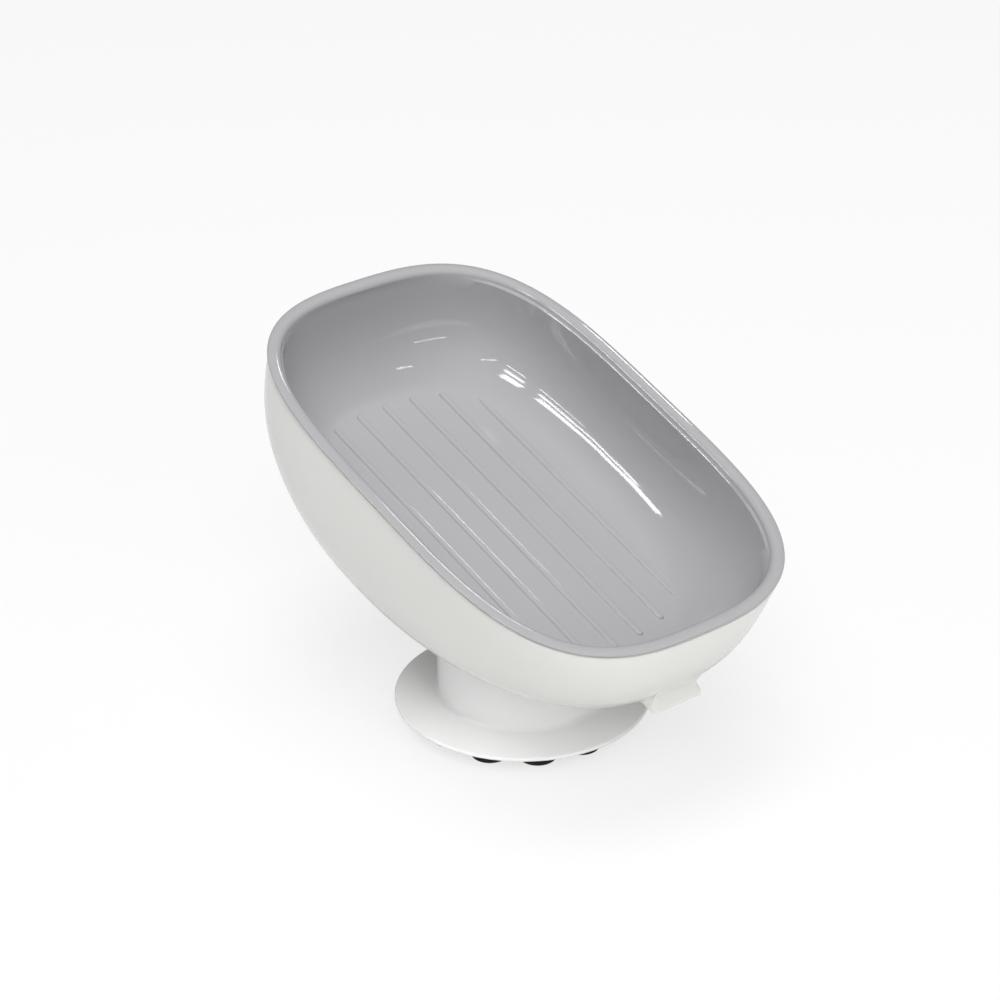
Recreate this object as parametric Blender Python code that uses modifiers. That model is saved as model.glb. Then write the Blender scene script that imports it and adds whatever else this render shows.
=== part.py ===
"""Suction cup soap dish.

A grey tray with a rolled rim drops into a white bowl that stands at a tilt on a
round pedestal. A plate under the pedestal holds a soft pad with small suction
cups. The length runs along Y with the low, pouring end at -Y, and +Z is up.
"""

import bisect
import math

import bmesh
import bpy
from mathutils import Matrix, Vector

# Units and fineness
MM = 0.001
RIM_POINT_COUNT = 56
ROUND_STEP_COUNT = 48
SMALL_STEP_COUNT = 16
CUP_STEP_COUNT = 12
WELD = 0.0001 * MM
OVERRUN = 3.0 * MM
FIT_GAP = 0.3 * MM
SHARP_ANGLE = math.radians(32)

# Rim, seen square to its own plane
RIM_TILT = math.radians(18.1)
RIM_HEIGHT = 68.0 * MM
RIM_HALF_LENGTH = 65.0 * MM
RIM_HALF_WIDTH = 42.5 * MM
RIM_LENGTH_POWER = 3.62
RIM_WIDTH_POWER = 2.86
BEAD_HALF_WIDTH = 1.65 * MM
BEAD_HALF_HEIGHT = 1.35 * MM
BEAD_RISE = 0.2 * MM
BEAD_UNDERSIDE_TURN = math.radians(55)

# The foot's axis lies 2 mm towards the low end from the middle of the length
FOOT_Y = -2.0 * MM

# Bowl, whose lowest area lies off centre towards the high end
BOWL_HALF_LENGTH = 65.0 * MM
BOWL_HALF_WIDTH = 41.8 * MM
BOWL_SHOULDER = 1.8 * MM
BOWL_DEPTH = 36.0 * MM
BOWL_WALL = 1.5 * MM
BOWL_FLOOR_SHIFT = 8.5 * MM
BOWL_EDGE_ROUND = 0.6 * MM
BOWL_FLOOR_POWER = 2.14
HIGH_END_POWERS = (4.0, 1.8)
LOW_END_POWERS = (3.05, 2.84)
SIDE_POWERS = (3.4, 6.0)
BOWL_LEVEL_COUNT = 12

# Tray
TRAY_FLOOR_DEPTH = 24.5 * MM
TRAY_FLOOR_THICKNESS = 1.2 * MM
TRAY_WALL = 1.2 * MM
TRAY_SWEEP_LOW = 16.7 * MM
TRAY_SWEEP_HIGH = 14.2 * MM
TRAY_SWEEP_SIDE = 12.5 * MM
TRAY_FLAT_POWER = 2.7
TRAY_SWEEP_POWERS = (2.8, 2.1)
TRAY_LEVEL_COUNT = 8
BEAD_LEVEL_COUNT = 9

# Ribs on the tray's floor, and the drain slots at their low ends
RIB_COUNT = 7
RIB_PITCH = 7.8 * MM
RIB_WIDTH = 1.5 * MM
RIB_HEIGHT = 0.7 * MM
RIB_SOFT_EDGE = 0.2 * MM
RIB_LOW_MARGIN = 3.5 * MM
RIB_HIGH_MARGIN = 2.0 * MM
RIB_LOW_SHORTENING = 5.5 * MM
RIB_HIGH_SHORTENING = 5.0 * MM
SLOT_COUNT = 4
SLOT_WIDTH = 3.0 * MM
SLOT_LENGTH = 6.5 * MM
SLOT_MARGIN = 3.0 * MM

# Spout: heights, how far it stands out from the bowl's low wall, and half widths
SPOUT_ROOT_HEIGHT = 33.0 * MM
SPOUT_JOIN_HEIGHT = 31.9 * MM
SPOUT_BLEND_HEIGHT = 30.8 * MM
SPOUT_WAIST_HEIGHT = 29.4 * MM
SPOUT_FLARE_HEIGHT = 27.3 * MM
SPOUT_LIP_HEIGHT = 26.4 * MM
SPOUT_ROOT_OUT = -0.9 * MM
SPOUT_JOIN_OUT = -0.05 * MM
SPOUT_BLEND_OUT = -0.8 * MM
SPOUT_WAIST_OUT = -1.35 * MM
SPOUT_LIP_OUT = -0.45 * MM
SPOUT_ROOT_HALF = 6.9 * MM
SPOUT_WAIST_HALF = 6.5 * MM
SPOUT_LIP_HALF = 7.1 * MM
SPOUT_DEPTH = 8.0 * MM
SPOUT_BACK_RISE = 2.4 * MM
SPOUT_CORNER = 1.0 * MM
SPOUT_SKIN = 1.1 * MM
CHANNEL_TOP_HEIGHT = 37.0 * MM
CHANNEL_DEPTH = 4.8 * MM
CORNER_STEP_COUNT = 4

# Pedestal
FLANGE_RADIUS = 30.0 * MM
FLANGE_UNDERSIDE = 3.9 * MM
FLANGE_EDGE_TOP = 4.9 * MM
FLANGE_ROUND = 0.35 * MM
FLANGE_NECK_TOP = 6.1 * MM
NECK_RADIUS = 20.0 * MM
NECK_WALL = 2.0 * MM
NECK_FILLET = 1.3 * MM
NECK_TOP = 42.0 * MM
WEB_UNDERSIDE = 14.3 * MM
WEB_TOP = 16.5 * MM

# Base plate and suction pad
PLATE_RADIUS = 25.2 * MM
PLATE_UNDERSIDE = 2.9 * MM
PLATE_TOP = 4.1 * MM
PAD_RADIUS = 25.8 * MM
PAD_UNDERSIDE = 1.7 * MM
PAD_EDGE_ROUND = 0.25 * MM
CUP_RADIUS = 4.9 * MM
CUP_LIP = 0.6 * MM
CUP_EDGE = 0.3 * MM
CUP_NECK_RADIUS = 3.7 * MM
CUP_NECK_HEIGHT = 1.2 * MM
CUP_ROOT_HEIGHT = 2.1 * MM
CUP_HOLLOW_HEIGHT = 1.0 * MM
CUP_HOLLOW_SHOULDER_RADIUS = 2.8 * MM
CUP_HOLLOW_SHOULDER_HEIGHT = 0.75 * MM
CUP_RING_STEP = 10.6 * MM
CUP_RING_COUNT = 2
FIRST_RING_COUNT = 6
PLUG_RADIUS = 2.0 * MM
PLUG_HEAD_RADIUS = 3.0 * MM
PLUG_HEAD_HEIGHT = 1.2 * MM
PLUG_CIRCLE = 9.0 * MM

# Screws, their bosses and pilot holes
SCREW_COUNT = 3
SHAFT_RADIUS = 1.2 * MM
SCREW_TIP = 0.7 * MM
HEAD_RADIUS = 2.5 * MM
HEAD_HEIGHT = 1.6 * MM
HEAD_ROUND = 0.5 * MM
DRIVE_LENGTH = 2.8 * MM
DRIVE_WIDTH = 0.6 * MM
DRIVE_DEPTH = 0.7 * MM
BOWL_SCREW_CIRCLE = 10.0 * MM
BOWL_SCREW_TIP_HEIGHT = 23.6 * MM
BOWL_BOSS_RADIUS = 3.2 * MM
BOWL_BOSS_TOP = 33.0 * MM
PLATE_SCREW_CIRCLE = 13.0 * MM
PLATE_SCREW_TIP_HEIGHT = 10.4 * MM
PLATE_BOSS_RADIUS = 2.9 * MM
PLATE_BOSS_TOP = 15.3 * MM
SUNK_HEAD_RADIUS = 2.4 * MM
SUNK_HEAD_INSET = 0.15 * MM
SUNK_HOLE_RADIUS = 2.85 * MM
PILOT_SPARE = 0.7 * MM

# Directions of the screw patterns round the foot's axis
FRONT = -math.pi / 2


# Scene and object helpers


def clear_scene():
    for obj in list(bpy.data.objects):
        bpy.data.objects.remove(obj)


def make_collection(name):
    collection = bpy.data.collections.new(name)
    bpy.context.scene.collection.children.link(collection)
    return collection


def make_material(name, colour, roughness, metallic):
    material = bpy.data.materials.new(name)
    material.use_nodes = True
    shader = material.node_tree.nodes["Principled BSDF"]
    shader.inputs["Base Color"].default_value = (*colour, 1.0)
    shader.inputs["Roughness"].default_value = roughness
    shader.inputs["Metallic"].default_value = metallic
    material.diffuse_color = (*colour, 1.0)
    return material


def make_frame(name, location, tilt):
    """An empty that carries the pieces built in its own axes."""
    frame = bpy.data.objects.new(name, None)
    frame.location = location
    frame.rotation_euler = (tilt, 0, 0)
    solids.objects.link(frame)
    return frame


def add_object(name, mesh, frame, material=None):
    """A node when it has a material, and otherwise a helper for Booleans."""
    obj = bpy.data.objects.new(name, mesh)
    obj.parent = frame
    if material is None:
        obj.hide_render = True
        obj.display_type = "WIRE"
        cutters.objects.link(obj)
    else:
        mesh.materials.append(material)
        solids.objects.link(obj)
    return obj


def mesh_from(bm, name):
    bmesh.ops.recalc_face_normals(bm, faces=bm.faces)
    mesh = bpy.data.meshes.new(name)
    bm.to_mesh(mesh)
    bm.free()
    return mesh


def evaluated_mesh(obj):
    """The mesh that an object's modifiers make, welded where points meet."""
    graph = bpy.context.evaluated_depsgraph_get()
    mesh = bpy.data.meshes.new_from_object(obj.evaluated_get(graph))
    bm = bmesh.new()
    bm.from_mesh(mesh)
    bmesh.ops.remove_doubles(bm, verts=bm.verts, dist=WELD)
    bm.to_mesh(mesh)
    bm.free()
    return mesh


def combine(target, helper, operation):
    modifier = target.modifiers.new(helper.name, "BOOLEAN")
    modifier.operation = operation
    modifier.solver = "EXACT"
    modifier.object = helper


def settle(obj):
    """Keeps what the modifiers made, shaded smooth up to the sharp angle."""
    mesh = evaluated_mesh(obj)
    obj.modifiers.clear()
    obj.data = mesh
    mesh.shade_smooth()
    mesh.set_sharp_from_angle(angle=SHARP_ANGLE)


# Shape helpers


def lofted(name, rings):
    """A closed skin through rings of points, with a flat cap on each end."""
    bm = bmesh.new()
    rows = []
    for ring in rings:
        rows.append([bm.verts.new(point) for point in ring])
    for lower, upper in zip(rows, rows[1:]):
        count = len(lower)
        for i in range(count):
            after = (i + 1) % count
            bm.faces.new((lower[i], lower[after], upper[after], upper[i]))
    bm.faces.new(rows[0])
    bm.faces.new(rows[-1])
    return mesh_from(bm, name)


def turned(name, profile, frame, material=None, steps=ROUND_STEP_COUNT):
    """A Screw about Z of (radius, height) points, outer side from top to bottom."""
    edges = [(i, i + 1) for i in range(len(profile) - 1)]
    mesh = bpy.data.meshes.new(name)
    mesh.from_pydata([(radius, 0, height) for radius, height in profile], edges, [])
    obj = add_object(name, mesh, frame, material)
    screw = obj.modifiers.new("turn", "SCREW")
    screw.steps = steps
    screw.render_steps = steps
    screw.use_merge_vertices = True
    screw.merge_threshold = WELD
    return obj


def cylinder_profile(radius, bottom, top):
    return [(0, top), (radius, top), (radius, bottom), (0, bottom)]


def repeated(name, source, places, frame, material=None):
    """Copies of a turned helper at several places, as one mesh."""
    mesh = evaluated_mesh(source)
    bm = bmesh.new()
    for x, y in places:
        first = len(bm.verts)
        bm.from_mesh(mesh)
        bm.verts.ensure_lookup_table()
        bmesh.ops.translate(bm, verts=bm.verts[first:], vec=(x, y, 0))
    return add_object(name, mesh_from(bm, name), frame, material)


def places_on_circle(radius, count, first_turn):
    places = []
    for i in range(count):
        turn = first_turn + 2 * math.pi * i / count
        places.append((radius * math.cos(turn), radius * math.sin(turn)))
    return places


def signed_power(value, power):
    return math.copysign(abs(value) ** power, value)


def oval(half_length, half_width, length_power, width_power, turns):
    """Points of a superellipse with its length along Y, one for each turn."""
    points = []
    for turn in turns:
        across = signed_power(math.sin(turn), 2 / width_power) * half_width
        along = signed_power(math.cos(turn), 2 / length_power) * half_length
        points.append(Vector((across, along)))
    return points


def rim_oval(half_length, half_width, turns):
    return oval(half_length, half_width, RIM_LENGTH_POWER, RIM_WIDTH_POWER, turns)


def even_turns(count):
    """Turns that space the rim's points evenly along its outline."""
    samples = count * 400
    fine = [2 * math.pi * i / samples for i in range(samples + 1)]
    outline = rim_oval(RIM_HALF_LENGTH, RIM_HALF_WIDTH, fine)
    travelled = [0.0]
    for here, after in zip(outline, outline[1:]):
        travelled.append(travelled[-1] + (after - here).length)
    turns = []
    for i in range(count):
        turns.append(fine[bisect.bisect_left(travelled, travelled[-1] * i / count)])
    return turns


def moved_inward(outline, amount):
    """The outline moved inward square to itself by the same amount all round."""
    moved = []
    for i, here in enumerate(outline):
        run = outline[(i + 1) % len(outline)] - outline[i - 1]
        run.normalize()
        moved.append(here + amount * Vector((run.y, -run.x)))
    return moved


def at_height(outline, height):
    return [(point.x, point.y, height) for point in outline]


def bead_underside():
    return BEAD_RISE - BEAD_HALF_HEIGHT * math.sin(BEAD_UNDERSIDE_TURN)


def sweep_shares(step, steps, powers):
    """Shares of depth and reach at one step of a wall that rounds into a floor."""
    turn = math.pi / 2 * step / steps
    return math.sin(turn) ** (2 / powers[0]), math.cos(turn) ** (2 / powers[1])


# Tray: one loft from the floor up the wall, round the bead and down the outside


def tray_wall_rings(flat, grow, top_height, floor_height, turns):
    """Rings of one side of the tray's wall, from its flat floor to its top."""
    rings = []
    for step in range(TRAY_LEVEL_COUNT, -1, -1):
        depth_share, reach_share = sweep_shares(step, TRAY_LEVEL_COUNT, TRAY_SWEEP_POWERS)
        height = top_height + (floor_height - top_height) * depth_share
        if step == TRAY_LEVEL_COUNT:
            reach_share = 0.0
        bowl_depth_share = max(0, -BOWL_SHOULDER - height) / (BOWL_DEPTH + grow)
        outline = []
        for low, high in zip(flat, bowl_ring(bowl_depth_share, grow, turns)):
            outline.append(low + (Vector(high[:2]) - low) * reach_share)
        rings.append(at_height(outline, height))
    return rings


def tray_flat_reach():
    """How far the flat floor reaches to the low end, the high end and the side."""
    half_length = BOWL_HALF_LENGTH - BOWL_WALL - FIT_GAP
    half_width = BOWL_HALF_WIDTH - BOWL_WALL - FIT_GAP
    low = half_length - TRAY_SWEEP_LOW
    high = half_length - TRAY_SWEEP_HIGH
    return low, high, half_width - TRAY_SWEEP_SIDE


def tray_flat(grow, turns):
    """The outline of the tray's flat floor, longer towards the high end."""
    low, high, side = tray_flat_reach()
    points = []
    for turn in turns:
        reach = high if math.cos(turn) > 0 else low
        across = signed_power(math.sin(turn), 2 / TRAY_FLAT_POWER)
        along = signed_power(math.cos(turn), 2 / TRAY_FLAT_POWER)
        points.append(Vector((across * (side + grow), along * (reach + grow))))
    return points


def tray_body(turns):
    rim = rim_oval(RIM_HALF_LENGTH, RIM_HALF_WIDTH, turns)
    underside = bead_underside()
    outer_grow = -BOWL_WALL - FIT_GAP
    inner_grow = outer_grow - TRAY_WALL
    inner_flat = tray_flat(0, turns)
    outer_flat = tray_flat(TRAY_WALL / 2, turns)
    outer_floor = -TRAY_FLOOR_DEPTH - TRAY_FLOOR_THICKNESS
    rings = tray_wall_rings(inner_flat, inner_grow, underside, -TRAY_FLOOR_DEPTH, turns)
    for step in range(BEAD_LEVEL_COUNT):
        turn = math.pi - (math.pi + BEAD_UNDERSIDE_TURN) * step / (BEAD_LEVEL_COUNT - 1)
        inset = BEAD_HALF_WIDTH * (1 - math.cos(turn))
        height = BEAD_RISE + BEAD_HALF_HEIGHT * math.sin(turn)
        rings.append(at_height(moved_inward(rim, inset), height))
    outside = tray_wall_rings(outer_flat, outer_grow, underside, outer_floor, turns)
    rings.extend(reversed(outside))
    return lofted("inner_tray", rings)


def stadium(centre_x, low_y, high_y, half_width, height):
    """A long outline with half-round ends, at one height."""
    points = []
    for end_y, first_turn in ((high_y - half_width, 0), (low_y + half_width, math.pi)):
        for step in range(CORNER_STEP_COUNT + 1):
            turn = first_turn + math.pi * step / CORNER_STEP_COUNT
            x = centre_x + half_width * math.cos(turn)
            points.append((x, end_y + half_width * math.sin(turn), height))
    return points


def merged(name, meshes, frame):
    """Several separate closed meshes as one helper."""
    bm = bmesh.new()
    for mesh in meshes:
        bm.from_mesh(mesh)
    return add_object(name, mesh_from(bm, name), frame)


def rib_meshes():
    meshes = []
    root = -TRAY_FLOOR_DEPTH - TRAY_FLOOR_THICKNESS / 2
    top = -TRAY_FLOOR_DEPTH + RIB_HEIGHT
    half_width = RIB_WIDTH / 2
    middle = (RIB_COUNT - 1) / 2
    flat_low, flat_high, _ = tray_flat_reach()
    for i in range(RIB_COUNT):
        x = (i - middle) * RIB_PITCH
        side_share = abs(i - middle) / middle
        low = -flat_low + RIB_LOW_MARGIN + RIB_LOW_SHORTENING * side_share**2
        high = flat_high - RIB_HIGH_MARGIN - RIB_HIGH_SHORTENING * side_share**2
        crown = (x, low + RIB_SOFT_EDGE, high - RIB_SOFT_EDGE, half_width - RIB_SOFT_EDGE)
        rings = [
            stadium(x, low, high, half_width, root),
            stadium(x, low, high, half_width, top - RIB_SOFT_EDGE),
            stadium(*crown, top),
        ]
        meshes.append(lofted("rib", rings))
    return meshes


def slot_meshes():
    """Drain slots, cut square to the rim between the middle ribs."""
    meshes = []
    bottom = -TRAY_FLOOR_DEPTH - TRAY_FLOOR_THICKNESS - OVERRUN
    near = -tray_flat_reach()[0] - SLOT_MARGIN
    for i in range(SLOT_COUNT):
        x = (i - (SLOT_COUNT - 1) / 2) * RIB_PITCH
        rings = []
        for height in (bottom, -TRAY_FLOOR_DEPTH / 2):
            rings.append(stadium(x, near - SLOT_LENGTH, near, SLOT_WIDTH / 2, height))
        meshes.append(lofted("slot", rings))
    return meshes


def build_tray(turns):
    tray = add_object("inner_tray", tray_body(turns), dish_frame, grey_plastic)
    combine(tray, merged("tray_ribs", rib_meshes(), dish_frame), "UNION")
    combine(tray, merged("tray_slots", slot_meshes(), dish_frame), "DIFFERENCE")
    return tray


# Bowl: a lofted shell between unlike sections, with a spout at its low end


def bowl_reaches(depth_share, grow):
    """Centre, high, low and side reaches and height of one level of the bowl."""
    shares = []
    for depth_power, reach_power in (HIGH_END_POWERS, LOW_END_POWERS, SIDE_POWERS):
        shares.append((1 - depth_share**depth_power) ** (1 / reach_power))
    centre = BOWL_FLOOR_SHIFT * (1 - (1 - depth_share) ** 4)
    half_length = BOWL_HALF_LENGTH + grow
    high = (half_length - centre) * shares[0]
    low = (half_length + centre) * shares[1]
    side = (BOWL_HALF_WIDTH + grow) * shares[2]
    height = -BOWL_SHOULDER - (BOWL_DEPTH + grow) * depth_share
    return centre, high, low, side, height


def bowl_ring(depth_share, grow, turns):
    """One level of the bowl, its surface moved outward by grow."""
    centre, high, low, side, height = bowl_reaches(depth_share, grow)
    length_power = RIM_LENGTH_POWER + (BOWL_FLOOR_POWER - RIM_LENGTH_POWER) * depth_share
    width_power = RIM_WIDTH_POWER + (BOWL_FLOOR_POWER - RIM_WIDTH_POWER) * depth_share
    points = []
    for turn in turns:
        reach = high if math.cos(turn) > 0 else low
        across = signed_power(math.sin(turn), 2 / width_power)
        along = signed_power(math.cos(turn), 2 / length_power)
        points.append((across * side, centre + along * reach, height))
    return points


def low_wall_reach(height):
    """How far the bowl's low end stands from the foot's axis at a height."""
    above_share = 0.0
    below_share = 0.7
    for _ in range(40):
        middle_share = (above_share + below_share) / 2
        centre, _, low, _, depth = bowl_reaches(middle_share, 0)
        along = centre - low
        world_height = RIM_HEIGHT + along * math.sin(RIM_TILT) + depth * math.cos(RIM_TILT)
        if world_height > height:
            above_share = middle_share
        else:
            below_share = middle_share
    return depth * math.sin(RIM_TILT) - along * math.cos(RIM_TILT)


def bowl_levels(grow, turns):
    """Rings from the shoulder down to just above the point of the bowl."""
    rings = []
    for step in range(BOWL_LEVEL_COUNT):
        depth_share = math.sin(math.pi / 2 * step / BOWL_LEVEL_COUNT) ** (2 / SIDE_POWERS[0])
        rings.append(bowl_ring(depth_share, grow, turns))
    return rings


def bowl_solid(turns):
    """The bowl's outside as a full solid with a softened top edge."""
    top = bead_underside() - FIT_GAP
    edge = rim_oval(BOWL_HALF_LENGTH, BOWL_HALF_WIDTH, turns)
    rings = []
    for turn in (math.pi / 2, math.pi / 4):
        inset = BOWL_EDGE_ROUND * (1 - math.cos(turn))
        height = top - BOWL_EDGE_ROUND * (1 - math.sin(turn))
        rings.append(at_height(moved_inward(edge, inset), height))
    return lofted("outer_bowl", rings + bowl_levels(0, turns))


def raised_bowl(name, grow, turns):
    """The bowl's form grown or shrunk, and run on above its rim."""
    half_length = BOWL_HALF_LENGTH + grow
    mouth = rim_oval(half_length, BOWL_HALF_WIDTH + grow, turns)
    rings = [at_height(mouth, OVERRUN)] + bowl_levels(grow, turns)
    return add_object(name, lofted(name, rings), dish_frame)


def spout_section(reach, height, half_width, back_reach, back_rise):
    """One level of the spout: square at the back, round at the front corners."""
    points = [(-half_width, -back_reach)]
    inner_half = half_width - SPOUT_CORNER
    for side, first_turn in ((-1, math.pi), (1, 1.5 * math.pi)):
        for step in range(CORNER_STEP_COUNT + 1):
            turn = first_turn + math.pi / 2 * step / CORNER_STEP_COUNT
            x = side * inner_half + SPOUT_CORNER * math.cos(turn)
            points.append((x, -reach + SPOUT_CORNER * (1 + math.sin(turn))))
    points.append((half_width, -back_reach))
    placed = []
    for x, y in points:
        back_share = (reach + y) / (reach - back_reach)
        placed.append((x, y, height + back_rise * back_share))
    return placed


def spout_outside():
    wall = low_wall_reach(SPOUT_JOIN_HEIGHT)
    back = wall - SPOUT_DEPTH
    rings = []
    for out, height, half_width in (
        (SPOUT_ROOT_OUT, SPOUT_ROOT_HEIGHT, SPOUT_ROOT_HALF),
        (SPOUT_JOIN_OUT, SPOUT_JOIN_HEIGHT, SPOUT_WAIST_HALF),
        (SPOUT_BLEND_OUT, SPOUT_BLEND_HEIGHT, SPOUT_WAIST_HALF),
        (SPOUT_WAIST_OUT, SPOUT_WAIST_HEIGHT, SPOUT_WAIST_HALF),
        (SPOUT_LIP_OUT, SPOUT_FLARE_HEIGHT, SPOUT_LIP_HALF),
        (SPOUT_LIP_OUT, SPOUT_LIP_HEIGHT, SPOUT_LIP_HALF),
    ):
        section = (wall + out, height, half_width, back, SPOUT_BACK_RISE)
        rings.append(spout_section(*section))
    return lofted("spout_outside", rings)


def spout_channel():
    """The drain, straight down from the bowl's inside and flared at the lip."""
    wall = low_wall_reach(SPOUT_JOIN_HEIGHT)
    rings = []
    below = SPOUT_LIP_HEIGHT - OVERRUN
    for out, height, half_width in (
        (SPOUT_WAIST_OUT, CHANNEL_TOP_HEIGHT, SPOUT_WAIST_HALF),
        (SPOUT_WAIST_OUT, SPOUT_WAIST_HEIGHT, SPOUT_WAIST_HALF),
        (SPOUT_LIP_OUT, SPOUT_FLARE_HEIGHT, SPOUT_LIP_HALF),
        (SPOUT_LIP_OUT, below, SPOUT_LIP_HALF),
    ):
        reach = wall + out - SPOUT_SKIN
        back = wall + SPOUT_WAIST_OUT - SPOUT_SKIN - CHANNEL_DEPTH
        rings.append(spout_section(reach, height, half_width - SPOUT_SKIN, back, 0))
    return lofted("spout_channel", rings)


def build_bowl(turns):
    bowl = add_object("outer_bowl", bowl_solid(turns), dish_frame, white_plastic)
    boss_foot = WEB_TOP + FIT_GAP
    boss = turned(
        "bowl_boss",
        cylinder_profile(BOWL_BOSS_RADIUS, boss_foot, BOWL_BOSS_TOP),
        foot_frame,
        steps=SMALL_STEP_COUNT,
    )
    pilot_top = BOWL_SCREW_TIP_HEIGHT + PILOT_SPARE
    pilot = turned(
        "bowl_pilot",
        cylinder_profile(SHAFT_RADIUS + FIT_GAP, boss_foot - OVERRUN, pilot_top),
        foot_frame,
        steps=SMALL_STEP_COUNT,
    )
    places = places_on_circle(BOWL_SCREW_CIRCLE, SCREW_COUNT, FRONT)
    combine(bowl, add_object("spout_solid", spout_outside(), foot_frame), "UNION")
    combine(bowl, repeated("bowl_bosses", boss, places, foot_frame), "UNION")
    combine(bowl, raised_bowl("bowl_hollow", -BOWL_WALL, turns), "DIFFERENCE")
    combine(bowl, add_object("spout_drain", spout_channel(), foot_frame), "DIFFERENCE")
    combine(bowl, repeated("bowl_pilots", pilot, places, foot_frame), "DIFFERENCE")
    return bowl


# Pedestal: a turned flange and neck, cut to the bowl's underside


def pedestal_profile():
    inside = NECK_RADIUS - NECK_WALL
    recess_radius = PLATE_RADIUS + FIT_GAP
    recess_top = PLATE_TOP + FIT_GAP
    soft = FLANGE_ROUND
    bent = NECK_FILLET * (1 - math.cos(math.pi / 4))
    return [
        (0, WEB_TOP),
        (inside, WEB_TOP),
        (inside, NECK_TOP),
        (NECK_RADIUS, NECK_TOP),
        (NECK_RADIUS, FLANGE_NECK_TOP + NECK_FILLET),
        (NECK_RADIUS + bent, FLANGE_NECK_TOP + bent),
        (NECK_RADIUS + NECK_FILLET, FLANGE_NECK_TOP),
        (FLANGE_RADIUS - soft, FLANGE_EDGE_TOP),
        (FLANGE_RADIUS, FLANGE_EDGE_TOP - soft),
        (FLANGE_RADIUS, FLANGE_UNDERSIDE + soft),
        (FLANGE_RADIUS - soft, FLANGE_UNDERSIDE),
        (recess_radius, FLANGE_UNDERSIDE),
        (recess_radius, recess_top),
        (inside, recess_top),
        (inside, WEB_UNDERSIDE),
        (0, WEB_UNDERSIDE),
    ]


def build_pedestal(turns):
    pedestal = turned("pedestal", pedestal_profile(), foot_frame, white_plastic)
    boss_foot = PLATE_TOP + FIT_GAP
    boss = turned(
        "plate_boss",
        cylinder_profile(PLATE_BOSS_RADIUS, boss_foot, PLATE_BOSS_TOP),
        foot_frame,
        steps=SMALL_STEP_COUNT,
    )
    pilot_top = PLATE_SCREW_TIP_HEIGHT + PILOT_SPARE
    pilot = turned(
        "plate_pilot",
        cylinder_profile(SHAFT_RADIUS + FIT_GAP, boss_foot - OVERRUN, pilot_top),
        foot_frame,
        steps=SMALL_STEP_COUNT,
    )
    web_hole = turned(
        "web_hole",
        cylinder_profile(SHAFT_RADIUS + FIT_GAP, WEB_UNDERSIDE - OVERRUN, WEB_TOP + OVERRUN),
        foot_frame,
        steps=SMALL_STEP_COUNT,
    )
    plate_places = places_on_circle(PLATE_SCREW_CIRCLE, SCREW_COUNT, -FRONT)
    bowl_places = places_on_circle(BOWL_SCREW_CIRCLE, SCREW_COUNT, FRONT)
    combine(pedestal, repeated("plate_bosses", boss, plate_places, foot_frame), "UNION")
    combine(pedestal, repeated("plate_pilots", pilot, plate_places, foot_frame), "DIFFERENCE")
    combine(pedestal, repeated("web_holes", web_hole, bowl_places, foot_frame), "DIFFERENCE")
    combine(pedestal, raised_bowl("bowl_seat", FIT_GAP, turns), "DIFFERENCE")
    return pedestal


# Base plate: a disc with sunk screw holes and plain holes for the pad's plugs


def build_base_plate():
    disc = cylinder_profile(PLATE_RADIUS, PLATE_UNDERSIDE, PLATE_TOP)
    plate = turned("base_plate", disc, foot_frame, white_plastic)
    sunk_hole = turned(
        "sunk_hole",
        [
            (0, PLATE_TOP + OVERRUN),
            (SHAFT_RADIUS + FIT_GAP, PLATE_TOP + OVERRUN),
            (SHAFT_RADIUS + FIT_GAP, PLATE_TOP),
            (SUNK_HOLE_RADIUS, PLATE_UNDERSIDE),
            (SUNK_HOLE_RADIUS, PLATE_UNDERSIDE - OVERRUN),
            (0, PLATE_UNDERSIDE - OVERRUN),
        ],
        foot_frame,
        steps=SMALL_STEP_COUNT,
    )
    plug_hole = turned(
        "plug_hole",
        cylinder_profile(PLUG_RADIUS + FIT_GAP, PLATE_UNDERSIDE - OVERRUN, PLATE_TOP + OVERRUN),
        foot_frame,
        steps=SMALL_STEP_COUNT,
    )
    screw_places = places_on_circle(PLATE_SCREW_CIRCLE, SCREW_COUNT, -FRONT)
    plug_places = places_on_circle(PLUG_CIRCLE, SCREW_COUNT, FRONT)
    combine(plate, repeated("sunk_holes", sunk_hole, screw_places, foot_frame), "DIFFERENCE")
    combine(plate, repeated("plug_holes", plug_hole, plug_places, foot_frame), "DIFFERENCE")
    return plate


# Suction pad: a disc with a centre cup and two rings of cups, held by plugs


def cup_profile():
    inner_lip = CUP_RADIUS - CUP_LIP
    return [
        (0, CUP_ROOT_HEIGHT),
        (CUP_NECK_RADIUS, CUP_ROOT_HEIGHT),
        (CUP_NECK_RADIUS, CUP_NECK_HEIGHT),
        (CUP_RADIUS, CUP_EDGE),
        (CUP_RADIUS, 0),
        (inner_lip, 0),
        (CUP_HOLLOW_SHOULDER_RADIUS, CUP_HOLLOW_SHOULDER_HEIGHT),
        (0, CUP_HOLLOW_HEIGHT),
    ]


def plug_profile():
    root = (PAD_UNDERSIDE + PLATE_UNDERSIDE) / 2
    head_foot = PLATE_TOP + FIT_GAP
    head_top = head_foot + PLUG_HEAD_HEIGHT
    return [
        (0, head_top),
        (PLUG_RADIUS, head_top),
        (PLUG_HEAD_RADIUS, head_foot + PLUG_HEAD_HEIGHT / 3),
        (PLUG_HEAD_RADIUS, head_foot),
        (PLUG_RADIUS, head_foot),
        (PLUG_RADIUS, root),
        (0, root),
    ]


def cup_places():
    places = [(0, 0)]
    for ring in range(1, CUP_RING_COUNT + 1):
        count = FIRST_RING_COUNT * ring
        places.extend(places_on_circle(CUP_RING_STEP * ring, count, FRONT))
    return places


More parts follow.
